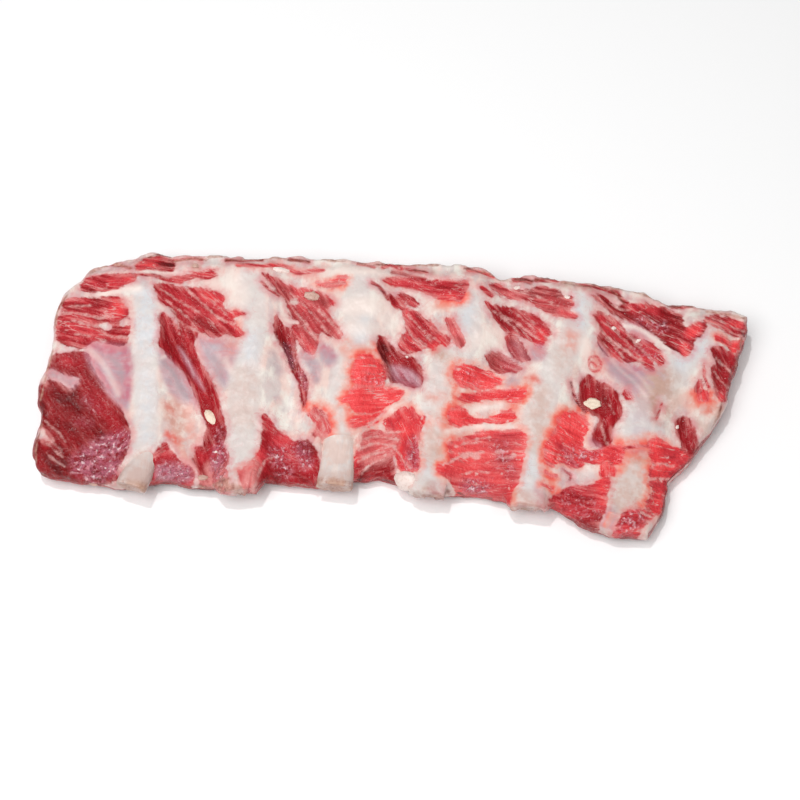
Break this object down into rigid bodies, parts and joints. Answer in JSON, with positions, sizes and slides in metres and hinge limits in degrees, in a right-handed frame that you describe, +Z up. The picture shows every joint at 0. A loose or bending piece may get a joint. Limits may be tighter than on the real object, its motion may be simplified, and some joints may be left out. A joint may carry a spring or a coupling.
{
  "type": "rack of ribs",
  "caption": "Raw beef back ribs in one slab: flat rib bones set side by side in red meat under white fat and membrane, inner side up.",
  "frame": {"origin": "middle of the rack's bounding box, on the surface it lies on", "axes": "+X along the rack across the ribs, +Y from the sawn rib tips to the backbone edge, +Z up out of the membrane side"},
  "size_m": [0.392, 0.1552, 0.029],
  "materials": {
    "meat": "moist raw red muscle with white and pink fat and a thin translucent membrane",
    "bone": "moist bluish white to grey beige raw bone"
  },
  "bodies": {
    "root": {"meat": "meat", "rib_1": "bone", "rib_2": "bone", "rib_3": "bone", "rib_4": "bone", "rib_5": "bone", "rib_6": "bone"}
  },
  "joints": []
}
